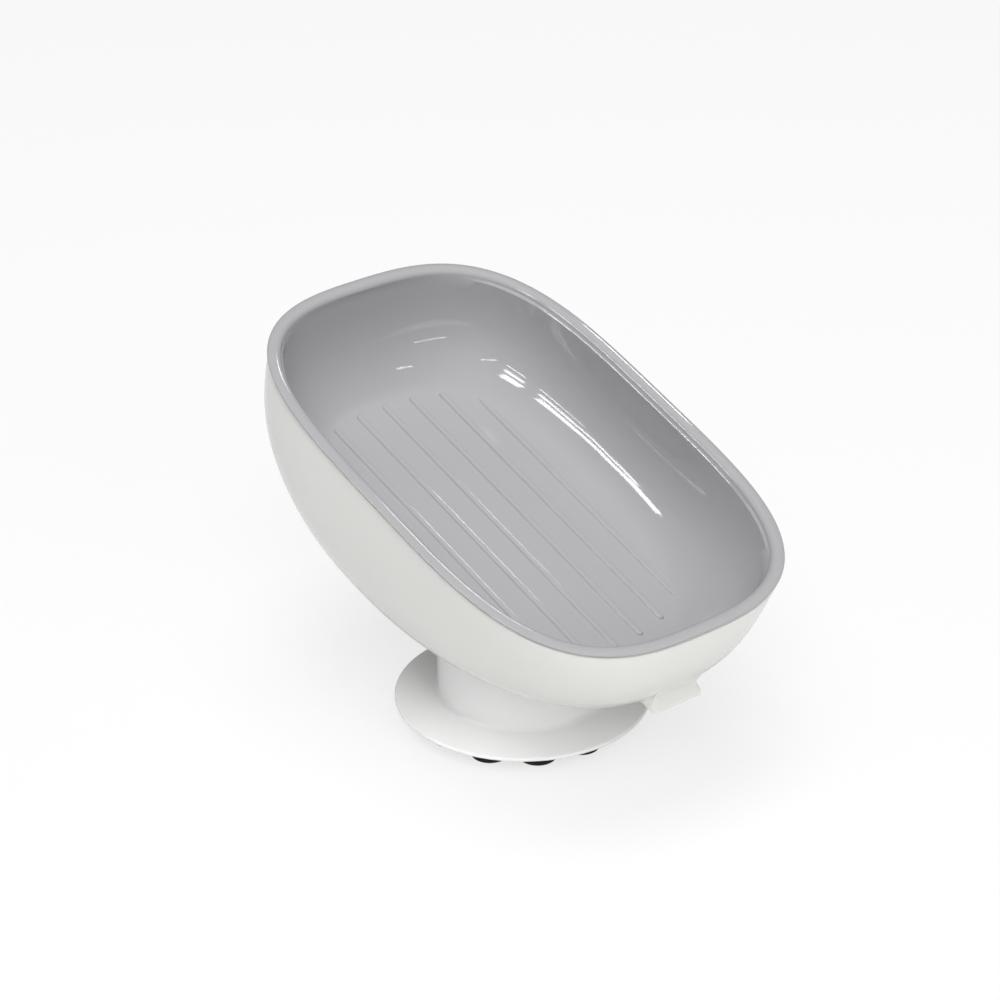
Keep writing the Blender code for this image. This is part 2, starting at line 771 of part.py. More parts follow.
def build_suction_pad():
    top = PLATE_UNDERSIDE - FIT_GAP
    soft = PAD_EDGE_ROUND
    disc = [
        (0, top),
        (PAD_RADIUS - soft, top),
        (PAD_RADIUS, top - soft),
        (PAD_RADIUS, PAD_UNDERSIDE + soft),
        (PAD_RADIUS - soft, PAD_UNDERSIDE),
        (0, PAD_UNDERSIDE),
    ]
    pad = turned("suction_pad", disc, foot_frame, black_rubber)
    cup = turned("cup", cup_profile(), foot_frame, steps=CUP_STEP_COUNT)
    plug = turned("plug", plug_profile(), foot_frame, steps=SMALL_STEP_COUNT)
    plug_places = places_on_circle(PLUG_CIRCLE, SCREW_COUNT, FRONT)
    combine(pad, repeated("cups", cup, cup_places(), foot_frame), "UNION")
    combine(pad, repeated("plugs", plug, plug_places, foot_frame), "UNION")
    return pad


# Screws: a pan head under the web and a sunk head in the plate, both cross driven


def cross_drive(name, place, head_bottom):
    """A cross-shaped cutter that opens downward."""
    long_half = DRIVE_LENGTH / 2
    short_half = DRIVE_WIDTH / 2
    arm = [(long_half, -short_half), (long_half, short_half), (short_half, short_half)]
    outline = []
    for quarter in range(4):
        turn = Matrix.Rotation(quarter * math.pi / 2, 2)
        outline.extend(turn @ Vector(point) for point in arm)
    rings = [at_height(outline, -DRIVE_DEPTH), at_height(outline, DRIVE_DEPTH)]
    cutter = add_object(name, lofted(name, rings), foot_frame)
    cutter.location = (*place, head_bottom)
    return cutter


def screw_at(name, profile, place, head_bottom):
    screw = turned(name, profile, foot_frame, steel, steps=SMALL_STEP_COUNT)
    screw.location = (*place, 0)
    combine(screw, cross_drive(name + "_drive", place, head_bottom), "DIFFERENCE")
    return screw


def build_bowl_screws():
    head_top = WEB_UNDERSIDE - FIT_GAP
    head_bottom = head_top - HEAD_HEIGHT
    profile = [
        (0, BOWL_SCREW_TIP_HEIGHT),
        (SHAFT_RADIUS - SCREW_TIP / 2, BOWL_SCREW_TIP_HEIGHT),
        (SHAFT_RADIUS, BOWL_SCREW_TIP_HEIGHT - SCREW_TIP),
        (SHAFT_RADIUS, head_top),
        (HEAD_RADIUS, head_top),
        (HEAD_RADIUS, head_bottom + HEAD_ROUND),
        (HEAD_RADIUS - HEAD_ROUND, head_bottom),
        (0, head_bottom),
    ]
    screws = []
    places = places_on_circle(BOWL_SCREW_CIRCLE, SCREW_COUNT, FRONT)
    for i, place in enumerate(places):
        screws.append(screw_at(f"bowl_screw_{i + 1}", profile, place, head_bottom))
    return screws


def build_plate_screws():
    head_bottom = PLATE_UNDERSIDE + SUNK_HEAD_INSET
    profile = [
        (0, PLATE_SCREW_TIP_HEIGHT),
        (SHAFT_RADIUS - SCREW_TIP / 2, PLATE_SCREW_TIP_HEIGHT),
        (SHAFT_RADIUS, PLATE_SCREW_TIP_HEIGHT - SCREW_TIP),
        (SHAFT_RADIUS, PLATE_TOP),
        (SUNK_HEAD_RADIUS, head_bottom),
        (0, head_bottom),
    ]
    screws = []
    places = places_on_circle(PLATE_SCREW_CIRCLE, SCREW_COUNT, -FRONT)
    for i, place in enumerate(places):
        screws.append(screw_at(f"plate_screw_{i + 1}", profile, place, head_bottom))
    return screws


# Assembly

clear_scene()
solids = make_collection("suction_cup_soap_dish")
cutters = make_collection("cutters")
grey_plastic = make_material("grey_plastic", (0.38, 0.39, 0.41), 0.18, 0.0)
white_plastic = make_material("white_plastic", (0.83, 0.83, 0.80), 0.22, 0.0)
black_rubber = make_material("black_rubber", (0.015, 0.015, 0.017), 0.6, 0.0)
steel = make_material("steel", (0.55, 0.55, 0.54), 0.3, 1.0)
foot_frame = make_frame("foot_frame", (0, FOOT_Y, 0), 0)
dish_frame = make_frame("dish_frame", (0, FOOT_Y, RIM_HEIGHT), RIM_TILT)
rim_turns = even_turns(RIM_POINT_COUNT)
nodes = [
    build_tray(rim_turns),
    build_bowl(rim_turns),
    build_pedestal(rim_turns),
    build_base_plate(),
    build_suction_pad(),
    *build_bowl_screws(),
    *build_plate_screws(),
]
bpy.context.view_layer.update()
for node in nodes:
    settle(node)
cutters.hide_render = True
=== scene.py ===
import math

import bmesh
import bpy
from mathutils import Matrix, Vector
from mathutils.bvhtree import BVHTree


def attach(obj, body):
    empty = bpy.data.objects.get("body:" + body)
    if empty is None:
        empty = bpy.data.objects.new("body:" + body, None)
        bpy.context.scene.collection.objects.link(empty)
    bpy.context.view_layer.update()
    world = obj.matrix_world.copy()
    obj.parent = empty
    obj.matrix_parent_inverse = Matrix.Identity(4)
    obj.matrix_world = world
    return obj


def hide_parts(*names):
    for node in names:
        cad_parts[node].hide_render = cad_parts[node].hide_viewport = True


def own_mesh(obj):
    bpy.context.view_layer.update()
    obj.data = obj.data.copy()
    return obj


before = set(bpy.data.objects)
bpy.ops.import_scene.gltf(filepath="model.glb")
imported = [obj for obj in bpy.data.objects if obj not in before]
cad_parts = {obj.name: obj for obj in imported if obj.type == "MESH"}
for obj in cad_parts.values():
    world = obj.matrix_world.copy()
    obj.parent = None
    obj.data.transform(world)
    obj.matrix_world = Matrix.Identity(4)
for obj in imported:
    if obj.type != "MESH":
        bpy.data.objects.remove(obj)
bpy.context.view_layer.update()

MM = 0.001

# Outer bowl
# Glossy off-white plastic shell, moulded in one with a short open-bottomed spout over
# its drain. Three bosses under its floor reach into the pedestal and take its screws.

FOOT_Y = -2.0 * MM
RIM_TILT = math.radians(18.1)
RIM_HEIGHT = 68.0 * MM
RIM_HALF_LENGTH = 65.0 * MM
RIM_HALF_WIDTH = 42.5 * MM
RIM_LENGTH_POWER = 3.62
RIM_WIDTH_POWER = 2.86
BEAD_HALF_HEIGHT = 0.6 * MM
BEAD_RISE = 0.4 * MM
BEAD_UNDERSIDE_TURN = math.radians(55)
BEAD_UNDERSIDE = BEAD_RISE - BEAD_HALF_HEIGHT * math.sin(BEAD_UNDERSIDE_TURN)
FIT_GAP = 0.3 * MM
OVERRUN = 3.0 * MM
BOWL_HALF_LENGTH = 65.0 * MM
BOWL_HALF_WIDTH = 41.8 * MM
BOWL_SHOULDER = 1.8 * MM
BOWL_DEPTH = 36.0 * MM
BOWL_WALL = 1.5 * MM
BOWL_EDGE_ROUND = 0.6 * MM
BOWL_EDGE_STEPS = 3
BOWL_FLOOR_SHIFT = 8.5 * MM
BOWL_SHIFT_POWER = 4
BOWL_FLOOR_POWER = 2.14
HIGH_END_POWERS = (4.0, 1.8)
LOW_END_POWERS = (3.05, 2.84)
SIDE_POWERS = (3.4, 6.0)
BOWL_LEVELS = 44
POINTS_AROUND = 224
SAMPLES_PER_POINT = 200
ROUNDING = 1e-12
SHARP_ANGLE = math.radians(35)
foot_place = Matrix.Translation((0, FOOT_Y, 0))
dish_place = Matrix.Translation((0, FOOT_Y, RIM_HEIGHT)) @ Matrix.Rotation(RIM_TILT, 4, "X")


def signed_power(value, power):
    return math.copysign(abs(value) ** power, value)


def rim_oval(half_length, half_width, turns):
    """A superellipse with its length along Y, one point for each turn."""
    points = []
    for turn in turns:
        x = signed_power(math.sin(turn), 2 / RIM_WIDTH_POWER) * half_width
        y = signed_power(math.cos(turn), 2 / RIM_LENGTH_POWER) * half_length
        points.append(Vector((x, y)))
    return points


def even_turns(count):
    """Turns that space the rim's points evenly along its outline."""
    samples = count * SAMPLES_PER_POINT
    fine = [2 * math.pi * i / samples for i in range(samples + 1)]
    outline = rim_oval(RIM_HALF_LENGTH, RIM_HALF_WIDTH, fine)
    total = sum((b - a).length for a, b in zip(outline, outline[1:]))
    travelled = 0.0
    turns = []
    for turn, here, after in zip(fine, outline, outline[1:]):
        if travelled >= total * len(turns) / count - ROUNDING and len(turns) < count:
            turns.append(turn)
        travelled += (after - here).length
    return turns


def moved_inward(outline, amount):
    moved = []
    for i, here in enumerate(outline):
        run = (outline[(i + 1) % len(outline)] - outline[i - 1]).normalized()
        moved.append(here + amount * Vector((run.y, -run.x)))
    return moved


def at_height(outline, height):
    return [(point[0], point[1], height) for point in outline]


def bowl_ring(depth_share, grow):
    """One level of the bowl, its surface moved outward by grow."""
    shares = []
    for depth_power, reach_power in (HIGH_END_POWERS, LOW_END_POWERS, SIDE_POWERS):
        shares.append((1 - depth_share**depth_power) ** (1 / reach_power))
    centre = BOWL_FLOOR_SHIFT * (1 - (1 - depth_share) ** BOWL_SHIFT_POWER)
    half_length = BOWL_HALF_LENGTH + grow
    high_reach = (half_length - centre) * shares[0]
    low_reach = (half_length + centre) * shares[1]
    half_width = (BOWL_HALF_WIDTH + grow) * shares[2]
    length_power = RIM_LENGTH_POWER + (BOWL_FLOOR_POWER - RIM_LENGTH_POWER) * depth_share
    width_power = RIM_WIDTH_POWER + (BOWL_FLOOR_POWER - RIM_WIDTH_POWER) * depth_share
    height = -BOWL_SHOULDER - (BOWL_DEPTH + grow) * depth_share
    points = []
    for turn in rim_turns:
        reach = high_reach if math.cos(turn) > 0 else low_reach
        x = signed_power(math.sin(turn), 2 / width_power) * half_width
        y = signed_power(math.cos(turn), 2 / length_power) * reach
        points.append((x, centre + y, height))
    return points


def bowl_levels(grow):
    """The bowl's levels from its shoulder down, close together where it turns under."""
    rings = []
    for step in range(BOWL_LEVELS):
        depth_share = math.sin(math.pi / 2 * step / BOWL_LEVELS) ** (2 / SIDE_POWERS[0])
        rings.append(bowl_ring(depth_share, grow))
    return rings


def bowl_edge_rings():
    """The softened top edge of the bowl, just under the tray's bead."""
    top = BEAD_UNDERSIDE - FIT_GAP
    edge = rim_oval(BOWL_HALF_LENGTH, BOWL_HALF_WIDTH, rim_turns)
    rings = []
    for step in range(BOWL_EDGE_STEPS, -1, -1):
        turn = math.pi / 2 * step / BOWL_EDGE_STEPS
        inset = BOWL_EDGE_ROUND * (1 - math.cos(turn))
        height = top - BOWL_EDGE_ROUND * (1 - math.sin(turn))
        rings.append(at_height(moved_inward(edge, inset), height))
    return rings


def finish_mesh(bm, name, matrix, material, sharp=SHARP_ANGLE):
    """An object from a bmesh, placed by moving its mesh, smooth up to an angle."""
    bmesh.ops.recalc_face_normals(bm, faces=bm.faces)
    bm.transform(matrix)
    mesh = bpy.data.meshes.new(name)
    bm.to_mesh(mesh)
    bm.free()
    mesh.shade_smooth()
    mesh.set_sharp_from_angle(angle=sharp)
    mesh.materials.append(material)
    obj = bpy.data.objects.new(name, mesh)
    bpy.context.scene.collection.objects.link(obj)
    return obj


def add_skin(bm, rings):
    """Quads through rings of points, closed at the first and the last ring."""
    rows = [[bm.verts.new(point) for point in ring] for ring in rings]
    for lower, upper in zip(rows, rows[1:]):
        for i in range(len(lower)):
            after = (i + 1) % len(lower)
            bm.faces.new((lower[i], lower[after], upper[after], upper[i]))
    bm.faces.new(rows[0])
    bm.faces.new(rows[-1])


def skin_object(name, ring_sets, matrix, material, sharp=SHARP_ANGLE):
    bm = bmesh.new()
    for rings in ring_sets:
        add_skin(bm, rings)
    return finish_mesh(bm, name, matrix, material, sharp)


def cut(target, cutters, operation="DIFFERENCE"):
    """Booleans with helper objects, kept in the mesh; the helpers go."""
    for cutter in cutters:
        modifier = target.modifiers.new(cutter.name, "BOOLEAN")
        modifier.operation = operation
        modifier.solver = "EXACT"
        modifier.object = cutter
    bpy.context.view_layer.update()
    graph = bpy.context.evaluated_depsgraph_get()
    mesh = bpy.data.meshes.new_from_object(target.evaluated_get(graph))
    target.modifiers.clear()
    target.data = mesh
    for cutter in cutters:
        bpy.data.objects.remove(cutter)
    mesh.shade_smooth()
    mesh.set_sharp_from_angle(angle=SHARP_ANGLE)


class Signal:
    """A shader socket that takes part in plain arithmetic, inside one material."""

    tree = None

    def __init__(self, socket):
        self.socket = socket

    def node(kind, inputs=None, settings=None, output=0):
        made = Signal.tree.nodes.new(kind)
        for name, value in (settings or {}).items():
            setattr(made, name, value)
        for name, value in (inputs or {}).items():
            Signal.feed(made.inputs[name], value)
        return Signal(made.outputs[output])

    def feed(target, value):
        if isinstance(value, Signal):
            Signal.tree.links.new(value.socket, target)
        else:
            target.default_value = value

    def math(self, operation, other=0.0):
        return Signal.node("ShaderNodeMath", {0: self, 1: other}, {"operation": operation})

    def __add__(self, other):
        return self.math("ADD", other)

    def __mul__(self, other):
        return self.math("MULTIPLY", other)

    __radd__ = __add__
    __rmul__ = __mul__

    def spread(self, low, high):
        """Runs from 0 at low to 1 at high, and stays within them."""
        inputs = {"Value": self, "From Min": low, "From Max": high}
        return Signal.node("ShaderNodeMapRange", inputs)

    def tint(self, first, second):
        """A colour between first and second, by this share."""
        # On a Mix node of colours, inputs 6 and 7 and output 2 are the colour sockets.
        inputs = {0: self, 6: (*first, 1.0), 7: (*second, 1.0)}
        return Signal.node("ShaderNodeMix", inputs, {"data_type": "RGBA"}, output=2)


def place():
    """The object's own coordinates, in metres."""
    return Signal.node("ShaderNodeTexCoord", output="Object")


def noise(scale, detail=2.0, roughness=0.5):
    inputs = {"Vector": place(), "Scale": scale, "Detail": detail, "Roughness": roughness}
    return Signal.node("ShaderNodeTexNoise", inputs)


def bump(height, strength, distance):
    inputs = {"Height": height, "Strength": strength, "Distance": distance}
    return Signal.node("ShaderNodeBump", inputs)


def new_material(name, **constants):
    """A Principled material; later links go to its shader."""
    material = bpy.data.materials.new(name)
    material.use_nodes = True
    Signal.tree = material.node_tree
    shader = material.node_tree.nodes["Principled BSDF"]
    for socket, value in constants.items():
        shader.inputs[socket].default_value = value
    return material, shader


PLASTIC_IOR = 1.5
CLOUD_SCALE = 35.0
WEAR_SCALE = 900.0
WEAR_ROUGHNESS = 0.02
RIPPLE_SCALE = 60.0
RIPPLE_SHARE = 0.7
GRAIN_SCALE = 1500.0
RIPPLE_DEPTH = 0.02 * MM
BOWL_WHITE = (0.680, 0.680, 0.655)
BOWL_WHITE_SHADE = (0.670, 0.670, 0.645)


def moulded_plastic(name, colour, shade, roughness, ripple):
    """Plastic from a polished mould: faint clouds, fine wear and a ripple in its gloss."""
    material, shader = new_material(name, IOR=PLASTIC_IOR)
    cloud = noise(CLOUD_SCALE, detail=3.0).spread(0.3, 0.7)
    wear = noise(WEAR_SCALE, detail=4.0, roughness=0.6).spread(0.4, 0.8)
    height = RIPPLE_SHARE * noise(RIPPLE_SCALE) + (1 - RIPPLE_SHARE) * noise(GRAIN_SCALE)
    Signal.feed(shader.inputs["Base Color"], cloud.tint(colour, shade))
    Signal.feed(shader.inputs["Roughness"], roughness + WEAR_ROUGHNESS * wear)
    Signal.feed(shader.inputs["Normal"], bump(height, ripple, RIPPLE_DEPTH))
    return material


# Each row is one level of the spout: its height, its reach from the foot's axis
# and its half width, from where it leaves the wall, by its waist, to its lip.
SPOUT_FRONT = (
    (33.2 * MM, 53.6 * MM, 6.9 * MM),
    (31.6 * MM, 53.2 * MM, 6.6 * MM),
    (29.4 * MM, 52.85 * MM, 6.4 * MM),
    (27.3 * MM, 54.0 * MM, 7.1 * MM),
    (26.4 * MM, 54.0 * MM, 7.1 * MM),
)
SPOUT_BACK_REACH = 46.3 * MM
SPOUT_BACK_RISE = 2.4 * MM
SPOUT_BLEND = 1.8 * MM
SPOUT_CORNER = 1.2 * MM
SPOUT_LEAST_CORNER = 0.01 * MM
SPOUT_CORNER_SHARE = 0.48
SPOUT_DIP = 0.03 * MM
SPOUT_LEVEL_STEPS = 8
SPOUT_WING_TRIES = 12
SPOUT_FRONT_STEPS = 7
CORNER_STEPS = 6
CHANNEL_FRONT_REACH = 51.98 * MM
CHANNEL_BACK_REACH = 47.18 * MM
CHANNEL_HALF_WIDTH = 5.4 * MM
CHANNEL_CORNER = 1.0 * MM
CHANNEL_TOP_HEIGHT = 37.0 * MM
CHANNEL_SIDE_SHARE = 0.6
FRONT = -math.pi / 2
SCREW_COUNT = 3
BOWL_SCREW_CIRCLE = 10.0 * MM
BOSS_RADIUS = 3.2 * MM
BOSS_FOOT = 16.8 * MM
BOSS_TOP = 33.0 * MM
PILOT_RADIUS = 1.5 * MM
PILOT_TOP = 24.3 * MM
POST_STEPS = 48


def arc(centre, radius, first, last, steps):
    """Points of an arc, from one angle in degrees to another."""
    points = []
    for i in range(steps + 1):
        turn = math.radians(first + (last - first) * i / steps)
        x = centre[0] + radius * math.cos(turn)
        points.append((x, centre[1] + radius * math.sin(turn)))
    return points


def wall_reach(tree, height, across):
    """How far the bowl's low wall stands from the foot's axis at one point."""
    far = Vector((across, -1.0, height))
    return FOOT_Y - tree.ray_cast(far, Vector((0, 1, 0)))[0].y


def spout_slope(reach):
    """How fast one level of the spout climbs from its front to its back."""
    return SPOUT_BACK_RISE / (reach - SPOUT_BACK_REACH)


def spout_front(tree, across, height, reach):
    """The spout's front, eased into the wall above it over a short band."""
    wall = wall_reach(tree, height, across)
    share = max(0, (wall - reach + SPOUT_BLEND) / (2 * SPOUT_BLEND))
    front = reach + SPOUT_BLEND * share**2 if share < 1 else wall
    return front - SPOUT_DIP


def spout_half(tree, height, reach, half):
    """Half of one level: (across, reach) from the back, by the side, to the middle."""
    wing = wall_reach(tree, height, half)
    for _ in range(SPOUT_WING_TRIES):
        climb = spout_slope(reach) * max(0, reach - wing)
        wing = wall_reach(tree, height + climb, half)
    front = spout_front(tree, half - SPOUT_CORNER, height, reach)
    soft = min(SPOUT_CORNER, SPOUT_CORNER_SHARE * (front - wing))
    soft = max(SPOUT_LEAST_CORNER, soft)
    points = [(half + soft, SPOUT_BACK_REACH)]
    for x, y in arc((half + soft, wing + soft), soft, 270, 180, CORNER_STEPS):
        points.append((x, y - SPOUT_DIP))
    points += arc((half - soft, front - soft), soft, 0, 90, CORNER_STEPS)
    for step in range(SPOUT_FRONT_STEPS - 1, -1, -1):
        across = (half - soft) * step / SPOUT_FRONT_STEPS
        points.append((across, spout_front(tree, across, height, reach)))
    return points


def spout_section(tree, height, reach, half):
    """One closed level of the spout, higher at its back than at its front."""
    side = spout_half(tree, height, reach, half)
    slope = spout_slope(reach)
    outline = side + [(-x, y) for x, y in side[-2::-1]]
    return [(x, -y, height + slope * max(0, reach - y)) for x, y in outline]


def smooth_levels(levels, steps):
    """More levels between the given ones, along a Catmull-Rom curve."""
    ends = [levels[0], *levels, levels[-1]]
    fine = []
    for i in range(len(levels) - 1):
        before, here, after, later = (Vector(level) for level in ends[i : i + 4])
        for step in range(steps):
            t = step / steps
            bend = (2 * before - 5 * here + 4 * after - later) * t * t
            turn = (3 * here - before - 3 * after + later) * t**3
            fine.append((2 * here + (after - before) * t + bend + turn) / 2)
    fine.append(Vector(levels[-1]))
    return fine


def spout_rings(tree):
    rings = []
    for height, reach, half in smooth_levels(SPOUT_FRONT, SPOUT_LEVEL_STEPS):
        rings.append(spout_section(tree, height, reach, half))
    return rings


def channel_rings():
    """The drain: a straight shaft that widens in the lip."""
    waist, flare, lip = SPOUT_FRONT[2:]
    widening = flare[1] - waist[1]
    levels = [(CHANNEL_TOP_HEIGHT, 0.0), (waist[0], 0.0)]
    levels += [(flare[0], widening), (lip[0] - OVERRUN, widening)]
    rings = []
    for height, grow in levels:
        front = CHANNEL_FRONT_REACH + grow - CHANNEL_CORNER
        side = CHANNEL_HALF_WIDTH + CHANNEL_SIDE_SHARE * grow
        outline = [(side, CHANNEL_BACK_REACH)]
        outline += arc((side - CHANNEL_CORNER, front), CHANNEL_CORNER, 0, 90, CORNER_STEPS)
        outline += [(-x, y) for x, y in outline[::-1]]
        rings.append([(x, -y, height) for x, y in outline])
    return rings


def places_on_circle(radius, count, first_turn):
    places = []
    for i in range(count):
        turn = first_turn + 2 * math.pi * i / count
        places.append((radius * math.cos(turn), radius * math.sin(turn)))
    return places


def turned_rings(profile, steps):
    """Rings of a turned piece from (radius, height) points off the axis."""
    rings = []
    for radius, height in profile:
        ring = []
        for i in range(steps):
            turn = 2 * math.pi * i / steps
            ring.append((radius * math.cos(turn), radius * math.sin(turn), height))
        rings.append(ring)
    return rings


def turned_copies(profile, spots, steps):
    """One turned solid at each (x, y) spot, as sets of rings."""
    rings = turned_rings(profile, steps)
    sets = []
    for x, y in spots:
        sets.append([[(px + x, py + y, pz) for px, py, pz in ring] for ring in rings])
    return sets


def posts(radius, bottom, top, spots):
    """Upright round solids on the spots, as sets of rings."""
    return turned_copies([(radius, bottom), (radius, top)], spots, POST_STEPS)


rim_turns = even_turns(POINTS_AROUND)
white_plastic = moulded_plastic(
    "white_moulded_plastic", BOWL_WHITE, BOWL_WHITE_SHADE, roughness=0.12, ripple=0.3
)
bowl_rings = bowl_edge_rings() + bowl_levels(0)[1:]
bowl = skin_object("bowl_shell", [bowl_rings], dish_place, white_plastic)
bowl_tree = BVHTree.FromPolygons(
    [point.co for point in bowl.data.vertices], [face.vertices for face in bowl.data.polygons]
)
mouth = rim_oval(BOWL_HALF_LENGTH - BOWL_WALL, BOWL_HALF_WIDTH - BOWL_WALL, rim_turns)
hollow_rings = [at_height(mouth, OVERRUN)] + bowl_levels(-BOWL_WALL)
bowl_screw_spots = places_on_circle(BOWL_SCREW_CIRCLE, SCREW_COUNT, FRONT)
boss_sets = posts(BOSS_RADIUS, BOSS_FOOT, BOSS_TOP, bowl_screw_spots)
pilot_sets = posts(PILOT_RADIUS, BOSS_FOOT - OVERRUN, PILOT_TOP, bowl_screw_spots)
added = [
    skin_object("spout", [spout_rings(bowl_tree)], foot_place, white_plastic),
    skin_object("bosses", boss_sets, foot_place, white_plastic),
]
taken = [
    skin_object("hollow", [hollow_rings], dish_place, white_plastic),
    skin_object("channel", [channel_rings()], foot_place, white_plastic),
    skin_object("pilots", pilot_sets, foot_place, white_plastic),
]
cut(bowl, added, "UNION")
cut(bowl, taken)
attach(bowl, "dish")
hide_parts("outer_bowl")

# Inner tray
# Glossy light grey plastic tub that drops into the bowl and hangs on its rim bead. Seven
# long ribs keep the soap off its flat floor, and slots at its low end drain it.

BEAD_HALF_WIDTH = 1.65 * MM
BEAD_INNER_HEIGHT = 1.35 * MM
BEAD_LEVELS = 22
TRAY_FLOOR_DEPTH = 24.5 * MM
TRAY_FLOOR_THICKNESS = 1.2 * MM
TRAY_WALL = 1.2 * MM
TRAY_WALL_TOP = -0.9 * MM
TRAY_FLAT_LOW = 46.5 * MM
TRAY_FLAT_HIGH = 49.0 * MM
TRAY_FLAT_HALF_WIDTH = 27.5 * MM
TRAY_FLAT_POWER = 2.7
TRAY_SWEEP_POWERS = (2.8, 2.1)
TRAY_LEVELS = 32
RIB_COUNT = 7
RIB_PITCH = 7.8 * MM
RIB_HALF_WIDTH = 0.75 * MM
RIB_HEIGHT = 0.5 * MM
RIB_SHOULDER = 0.45 * MM
RIB_SHOULDER_STEPS = 8
RIB_FLARE = 0.25 * MM
RIB_ROOT = 0.3 * MM
RIB_LOW_REACH = 43.0 * MM
RIB_HIGH_REACH = 47.0 * MM
RIB_LOW_SHORTENING = 5.5 * MM
RIB_HIGH_SHORTENING = 5.0 * MM
RIB_SHARP_ANGLE = math.radians(60)
SLOT_COUNT = 4
SLOT_HALF_WIDTH = 1.5 * MM
SLOT_NEAR = 49.5 * MM
SLOT_FAR = 56.0 * MM
SLOT_BELOW_FLOOR = 4.0 * MM
END_STEPS = 10
TRAY_GREY = (0.350, 0.350, 0.358)
TRAY_GREY_SHADE = (0.342, 0.342, 0.350)


def tray_flat(grow):
    """The outline of the tray's flat floor, longer towards its high end."""
    points = []
    for turn in rim_turns:
        reach = TRAY_FLAT_HIGH if math.cos(turn) > 0 else TRAY_FLAT_LOW
        x = signed_power(math.sin(turn), 2 / TRAY_FLAT_POWER)
        y = signed_power(math.cos(turn), 2 / TRAY_FLAT_POWER)
        points.append(Vector((x * (TRAY_FLAT_HALF_WIDTH + grow), y * (reach + grow))))
    return points


def tray_wall_rings(flat, grow, floor_height, top):
    """One side of the tray's wall, from its flat floor to its top."""
    rings = []
    for step in range(TRAY_LEVELS, -1, -1):
        turn = math.pi / 2 * step / TRAY_LEVELS
        depth_share = math.sin(turn) ** (2 / TRAY_SWEEP_POWERS[0])
        reach_share = abs(math.cos(turn)) ** (2 / TRAY_SWEEP_POWERS[1])
        if step == TRAY_LEVELS:
            reach_share = 0.0
        height = top + (floor_height - top) * depth_share
        bowl_depth_share = max(0, -BOWL_SHOULDER - height) / (BOWL_DEPTH + grow)
        outline = []
        for low, high in zip(flat, bowl_ring(bowl_depth_share, grow)):
            outline.append(low + (Vector(high[:2]) - low) * reach_share)
        rings.append(at_height(outline, height))
    return rings


def bead_rings():
    """The rim bead, over from its soft inner roll to its thin outer side."""
    rim = rim_oval(RIM_HALF_LENGTH, RIM_HALF_WIDTH, rim_turns)
    rings = []
    for step in range(BEAD_LEVELS):
        turn = math.pi - (math.pi + BEAD_UNDERSIDE_TURN) * step / (BEAD_LEVELS - 1)
        inset = BEAD_HALF_WIDTH * (1 - math.cos(turn))
        drop = BEAD_INNER_HEIGHT if math.cos(turn) < 0 else BEAD_HALF_HEIGHT
        height = BEAD_RISE + BEAD_HALF_HEIGHT - drop * (1 - math.sin(turn))
        rings.append(at_height(moved_inward(rim, inset), height))
    return rings


def tray_rings():
    """The tray's whole skin: up its inner wall, over the bead and down outside."""
    outer_grow = -BOWL_WALL - FIT_GAP
    inner_grow = outer_grow - TRAY_WALL
    outer_floor = -TRAY_FLOOR_DEPTH - TRAY_FLOOR_THICKNESS
    inside = tray_wall_rings(tray_flat(0), inner_grow, -TRAY_FLOOR_DEPTH, TRAY_WALL_TOP)
    outer_flat = tray_flat(TRAY_WALL / 2)
    outside = tray_wall_rings(outer_flat, outer_grow, outer_floor, BEAD_UNDERSIDE)
    return inside + bead_rings() + outside[::-1]


def stadium(centre_x, low_y, high_y, half_width, height):
    """A long outline with half-round ends, at one height."""
    points = []
    for end_y, first_turn in ((high_y - half_width, 0), (low_y + half_width, math.pi)):
        for step in range(END_STEPS + 1):
            turn = first_turn + math.pi * step / END_STEPS
            x = centre_x + half_width * math.cos(turn)
            points.append((x, end_y + half_width * math.sin(turn), height))
    return points


def rib_rings(index):
    """A rib with a small flare at its foot and rounded shoulders."""
    middle = (RIB_COUNT - 1) / 2
    x = (index - middle) * RIB_PITCH
    side_share = abs(index - middle) / middle
    low = -RIB_LOW_REACH + RIB_LOW_SHORTENING * side_share**2
    high = RIB_HIGH_REACH - RIB_HIGH_SHORTENING * side_share**2
    foot = RIB_HALF_WIDTH + RIB_FLARE
    # The flare narrows to a quarter within a sixteenth of its width.
    flare_neck = (RIB_HALF_WIDTH + RIB_FLARE / 4, RIB_FLARE / 16)
    centre = (RIB_HALF_WIDTH - RIB_SHOULDER, RIB_HEIGHT - RIB_SHOULDER)
    section = [(foot, -RIB_ROOT), (foot, 0.0), flare_neck]
    section += arc(centre, RIB_SHOULDER, 0, 90, RIB_SHOULDER_STEPS)
    rings = []
    for half_width, rise in section:
        inset = RIB_HALF_WIDTH - half_width
        height = -TRAY_FLOOR_DEPTH + rise
        rings.append(stadium(x, low + inset, high - inset, half_width, height))
    return rings


def slot_rings(index):
    """The cutter of one drain slot, which lies on the same pitch as the ribs."""
    x = (index - (SLOT_COUNT - 1) / 2) * RIB_PITCH
    rings = []
    for height in (-TRAY_FLOOR_DEPTH - SLOT_BELOW_FLOOR, -TRAY_FLOOR_DEPTH / 2):
        rings.append(stadium(x, -SLOT_FAR, -SLOT_NEAR, SLOT_HALF_WIDTH, height))
    return rings


